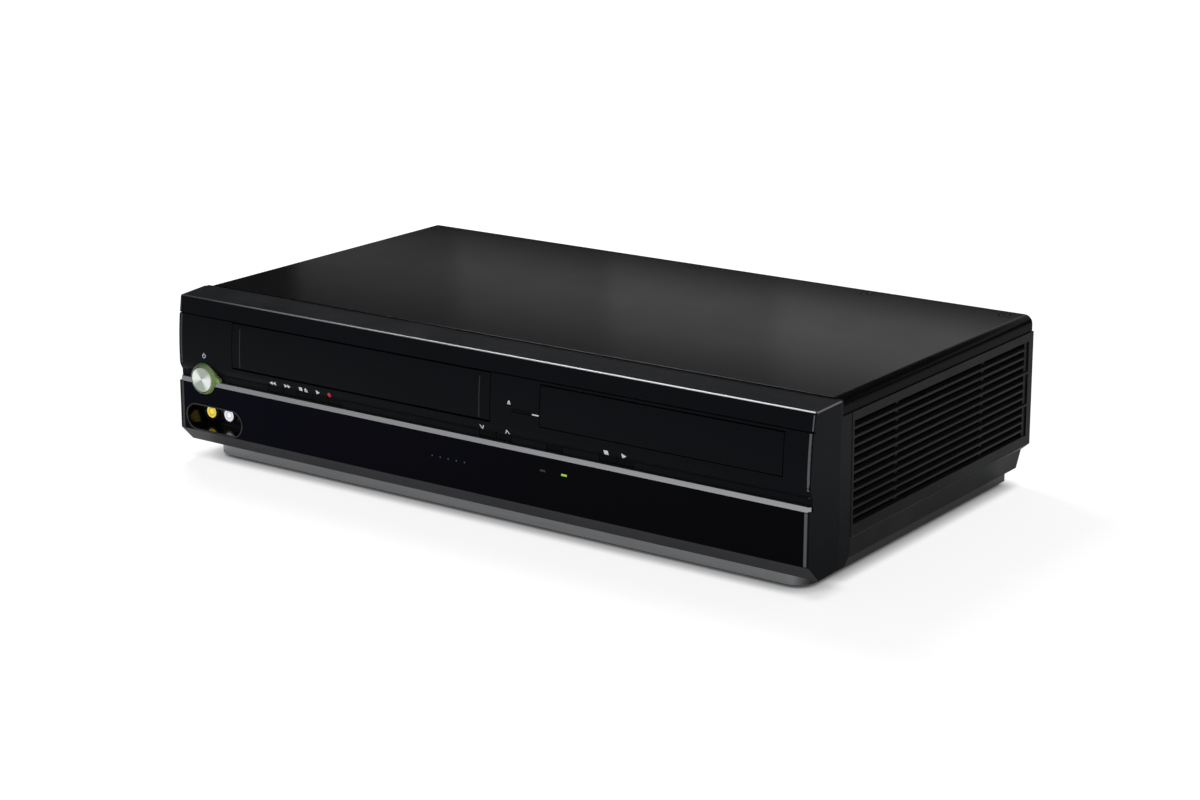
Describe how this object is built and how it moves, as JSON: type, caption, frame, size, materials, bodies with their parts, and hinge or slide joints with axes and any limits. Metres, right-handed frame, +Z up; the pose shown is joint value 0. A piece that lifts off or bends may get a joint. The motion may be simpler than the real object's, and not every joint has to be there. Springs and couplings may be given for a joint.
{
  "type": "disc player and cassette recorder",
  "caption": "Low black combination player: cassette flap and disc tray above a gloss window, silver strip, round metal power key, louvred sides and moving deck inside.",
  "frame": {"origin": "on the floor, under the middle of the whole object", "axes": "+X to the right seen from the front, +Y to the rear panel, +Z up"},
  "size_m": [0.4346, 0.2438, 0.0995],
  "materials": {
    "tub_plastic": "fine spark texture, satin",
    "pan_steel": "plain zinc-grey sheet",
    "cover_paint": "fine satin charcoal paint",
    "panel_steel": "satin black-grey paint",
    "rubber": "matt",
    "black_steel": "black oxide",
    "front_plastic": "satin blue-black",
    "window_plastic": "polished dark tinted",
    "silver_trim": "brushed along its length",
    "gloss_black": "polished",
    "socket_plastic": "yellow, white and red inserts",
    "spun_metal": "spun",
    "green_plastic": "translucent green",
    "deck_steel": "zinc-plated sheet",
    "bright_steel": "ground",
    "drum_metal": "fine turned",
    "pale_nylon": "natural nylon",
    "motor_plastic": "satin",
    "loader_plastic": "satin moulded",
    "pulley_brass": "turned",
    "board_green": "solder-resist lacquer",
    "socket_block": "black moulding with plated sleeves",
    "key_plastic": "polished"
  },
  "bodies": {
    "case": {"chassis_tub": "tub_plastic", "base_pan": "pan_steel", "top_cover": "cover_paint", "rear_panel": "panel_steel", "rubber_feet": "rubber", "case_screws": "black_steel", "front_bezel": "front_plastic", "display_window": "window_plastic", "trim_strip": "silver_trim", "jack_cup": "gloss_black", "front_sockets": "socket_plastic", "power_ring": "green_plastic", "deck_plate": "deck_steel", "side_guides": "deck_steel", "lower_drum": "drum_metal", "fixed_heads": "drum_metal", "loading_motor": "motor_plastic", "loader_frame": "loader_plastic", "loader_motor": "bright_steel", "clamp_bridge": "deck_steel", "drive_belts": "rubber", "circuit_boards": "board_green", "front_board": "board_green", "rear_sockets": "socket_block", "cord_gland": "gloss_black"},
    "power_key": {"power_button": "spun_metal"},
    "flap": {"cassette_door": "front_plastic"},
    "carriage": {"lift_carriage": "bright_steel"},
    "basket": {"cassette_basket": "deck_steel"},
    "drum": {"upper_drum": "drum_metal"},
    "capstan_flywheel": {"capstan": "bright_steel"},
    "clutch": {"clutch_pulley": "pale_nylon"},
    "supply_table": {"supply_reel": "pale_nylon"},
    "takeup_table": {"takeup_reel": "pale_nylon"},
    "pinch_lever": {"pinch_arm": "bright_steel"},
    "pinch_wheel": {"pinch_roller": "rubber"},
    "supply_guide": {"supply_post": "bright_steel"},
    "takeup_guide": {"takeup_post": "bright_steel"},
    "cam": {"cam_gear": "pale_nylon"},
    "tray": {"disc_tray": "loader_plastic", "tray_front": "front_plastic"},
    "tray_gear": {"rack_gear": "pale_nylon"},
    "belt_gear": {"pulley_gear": "pale_nylon"},
    "motor_wheel": {"motor_pulley": "pulley_brass"},
    "traverse_deck": {"traverse": "loader_plastic", "guide_rods": "bright_steel"},
    "spindle": {"turntable": "motor_plastic"},
    "sled": {"pickup_sled": "motor_plastic"},
    "clamp": {"disc_clamp": "pale_nylon"},
    "rewind_key": {"key_rewind": "key_plastic"},
    "forward_key": {"key_forward": "key_plastic"},
    "stop_eject_key": {"key_stop_eject": "key_plastic"},
    "play_key": {"key_play": "key_plastic"},
    "record_key": {"key_record": "key_plastic"},
    "tracking_down_key": {"key_tracking_down": "key_plastic"},
    "tracking_up_key": {"key_tracking_up": "key_plastic"},
    "open_close_key": {"key_open_close": "key_plastic"},
    "source_key": {"key_source": "key_plastic"},
    "disc_stop_key": {"key_disc_stop": "key_plastic"},
    "disc_play_key": {"key_disc_play": "key_plastic"}
  },
  "joints": [
    {"name": "power_press", "type": "slide", "parent": "case", "child": "power_key", "axis": [0, 1, 0], "range_m": [0, 0.0015], "stiffness_N_per_m": 400},
    {"name": "rewind_press", "type": "slide", "parent": "case", "child": "rewind_key", "axis": [0, 1, 0], "range_m": [0, 0.001], "stiffness_N_per_m": 400},
    {"name": "forward_press", "type": "slide", "parent": "case", "child": "forward_key", "axis": [0, 1, 0], "range_m": [0, 0.001], "stiffness_N_per_m": 400},
    {"name": "stop_eject_press", "type": "slide", "parent": "case", "child": "stop_eject_key", "axis": [0, 1, 0], "range_m": [0, 0.001], "stiffness_N_per_m": 400},
    {"name": "play_press", "type": "slide", "parent": "case", "child": "play_key", "axis": [0, 1, 0], "range_m": [0, 0.001], "stiffness_N_per_m": 400},
    {"name": "record_press", "type": "slide", "parent": "case", "child": "record_key", "axis": [0, 1, 0], "range_m": [0, 0.001], "stiffness_N_per_m": 400},
    {"name": "tracking_down_press", "type": "slide", "parent": "case", "child": "tracking_down_key", "axis": [0, 1, 0], "range_m": [0, 0.001], "stiffness_N_per_m": 400},
    {"name": "tracking_up_press", "type": "slide", "parent": "case", "child": "tracking_up_key", "axis": [0, 1, 0], "range_m": [0, 0.001], "stiffness_N_per_m": 400},
    {"name": "open_close_press", "type": "slide", "parent": "case", "child": "open_close_key", "axis": [0, 1, 0], "range_m": [0, 0.001], "stiffness_N_per_m": 400},
    {"name": "source_press", "type": "slide", "parent": "case", "child": "source_key", "axis": [0, 1, 0], "range_m": [0, 0.001], "stiffness_N_per_m": 400},
    {"name": "disc_stop_press", "type": "slide", "parent": "case", "child": "disc_stop_key", "axis": [0, 1, 0], "range_m": [0, 0.001], "stiffness_N_per_m": 400},
    {"name": "disc_play_press", "type": "slide", "parent": "case", "child": "disc_play_key", "axis": [0, 1, 0], "range_m": [0, 0.001], "stiffness_N_per_m": 400},
    {"name": "flap_swing", "type": "hinge", "parent": "case", "child": "flap", "pos_m": [-0.079, -0.1117, 0.0946], "axis": [1, 0, 0], "range_deg": [0, 90], "stiffness_Nm_per_rad": 0.004, "springref_deg": -34.38},
    {"name": "draw_in", "type": "slide", "parent": "case", "child": "carriage", "axis": [0, 1, 0], "range_m": [0, 0.051]},
    {"name": "sink", "type": "slide", "parent": "carriage", "child": "basket", "axis": [0, 0, -1], "range_m": [0, 0.0255]},
    {"name": "drum_spin", "type": "hinge", "parent": "case", "child": "drum", "pos_m": [-0.079, 0.0604, 0.054], "axis": [0, 0, 1], "continuous": true},
    {"name": "capstan_spin", "type": "hinge", "parent": "case", "child": "capstan_flywheel", "pos_m": [-0.013, 0.0064, 0.026], "axis": [0, 0, 1], "continuous": true},
    {"name": "clutch_spin", "type": "hinge", "parent": "case", "child": "clutch", "pos_m": [-0.079, -0.0356, 0.022], "axis": [0, 0, 1], "continuous": true},
    {"name": "supply_spin", "type": "hinge", "parent": "case", "child": "supply_table", "pos_m": [-0.125, -0.0426, 0.034], "axis": [0, 0, 1], "continuous": true},
    {"name": "takeup_spin", "type": "hinge", "parent": "case", "child": "takeup_table", "pos_m": [-0.033, -0.0426, 0.034], "axis": [0, 0, 1], "continuous": true},
    {"name": "cam_turn", "type": "hinge", "parent": "case", "child": "cam", "pos_m": [-0.159, 0.0624, 0.035], "axis": [0, 0, 1], "range_deg": [0, 180]},
    {"name": "pinch_swing", "type": "hinge", "parent": "case", "child": "pinch_lever", "pos_m": [0.007, 0.0304, 0.04], "axis": [0, 0, 1], "range_deg": [0, 45]},
    {"name": "pinch_spin", "type": "hinge", "parent": "pinch_lever", "child": "pinch_wheel", "pos_m": [-0.01778, 0.03371, 0.045], "axis": [0, 0, 1], "continuous": true},
    {"name": "supply_thread", "type": "slide", "parent": "case", "child": "supply_guide", "axis": [-0.1713, 0.9852, 0], "range_m": [0, 0.0467]},
    {"name": "takeup_thread", "type": "slide", "parent": "case", "child": "takeup_guide", "axis": [0.1713, 0.9852, 0], "range_m": [0, 0.0467]},
    {"name": "tray_slide", "type": "slide", "parent": "case", "child": "tray", "axis": [0, -1, 0], "range_m": [0, 0.138]},
    {"name": "tray_gear_turn", "type": "hinge", "parent": "case", "child": "tray_gear", "pos_m": [0.08, -0.0856, 0.064], "axis": [0, 0, 1], "range_deg": [0, 660]},
    {"name": "belt_gear_turn", "type": "hinge", "parent": "case", "child": "belt_gear", "pos_m": [0.1, -0.0856, 0.06], "axis": [0, 0, 1], "range_deg": [-990, 0]},
    {"name": "motor_turn", "type": "hinge", "parent": "case", "child": "motor_wheel", "pos_m": [0.138, -0.0856, 0.058], "axis": [0, 0, 1], "range_deg": [-3465, 0]},
    {"name": "traverse_lift", "type": "hinge", "parent": "case", "child": "traverse_deck", "pos_m": [0.124, 0.0404, 0.0566], "axis": [-1, 0, 0], "range_deg": [0, 5]},
    {"name": "disc_spin", "type": "hinge", "parent": "traverse_deck", "child": "spindle", "pos_m": [0.124, -0.0416, 0.062], "axis": [0, 0, 1], "continuous": true},
    {"name": "sled_slide", "type": "slide", "parent": "traverse_deck", "child": "sled", "axis": [0, 1, 0], "range_m": [0, 0.036]},
    {"name": "clamp_spin", "type": "hinge", "parent": "case", "child": "clamp", "pos_m": [0.124, -0.0416, 0.079], "axis": [0, 0, 1], "continuous": true}
  ],
  "couplings": [
    {"joint": "clutch_spin", "follows": "capstan_spin", "ratio": 0.71429},
    {"joint": "cam_turn", "follows": "supply_thread", "rad_per_m": 67.27},
    {"joint": "pinch_swing", "follows": "supply_thread", "rad_per_m": 16.817},
    {"joint": "takeup_thread", "follows": "supply_thread", "ratio": 1},
    {"joint": "tray_gear_turn", "follows": "tray_slide", "rad_per_m": 83.333},
    {"joint": "belt_gear_turn", "follows": "tray_slide", "rad_per_m": -125},
    {"joint": "motor_turn", "follows": "tray_slide", "rad_per_m": -437.5}
  ]
}
